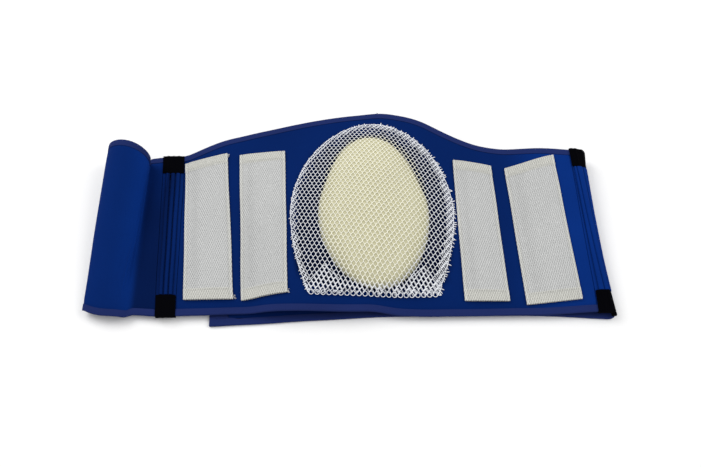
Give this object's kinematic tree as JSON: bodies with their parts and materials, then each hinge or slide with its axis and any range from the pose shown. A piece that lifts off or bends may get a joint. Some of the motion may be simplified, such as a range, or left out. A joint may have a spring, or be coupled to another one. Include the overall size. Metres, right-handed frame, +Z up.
{
  "type": "hernia belt",
  "caption": "Navy neoprene hernia belt, folded, body side up: arched front with a foam pad under a white net pocket, white webbing casings, ribbed stay zones, one wing rolled, one folded.",
  "frame": {"origin": "under the middle of the whole belt's box, on the surface that it lies on", "axes": "+X along the folded belt, from the rolled wing to the fold; +Y across it, towards the arched edge; +Z up, out of the body side of the front panel"},
  "size_m": [0.5272, 0.2546, 0.0483],
  "materials": {
    "neoprene": "matt knitted nylon over neoprene foam, navy blue",
    "binding": "matt woven edge tape, dull navy",
    "elastic": "black woven elastic",
    "webbing": "off-white twill-woven cotton tape",
    "foam": "cream open-cell foam",
    "net": "white warp-knitted polyester net"
  },
  "bodies": {
    "root": {"front_panel": "neoprene", "stay_panel_left": "neoprene", "stay_panel_right": "neoprene", "wing_left": "neoprene", "wing_right": "neoprene", "binding_front_far": "binding", "binding_front_near": "binding", "binding_wing_left": "binding", "binding_wing_right": "binding", "stay_cap_left_far": "elastic", "stay_cap_left_near": "elastic", "stay_cap_right_far": "elastic", "stay_cap_right_near": "elastic", "stay_left_1": "neoprene", "stay_left_2": "neoprene", "stay_left_3": "neoprene", "stay_right_1": "neoprene", "stay_right_2": "neoprene", "stay_right_3": "neoprene", "casing_left_outer": "webbing", "casing_left_inner": "webbing", "casing_right_inner": "webbing", "casing_right_outer": "webbing", "foam_pad": "foam", "net_pocket": "net"}
  },
  "joints": []
}
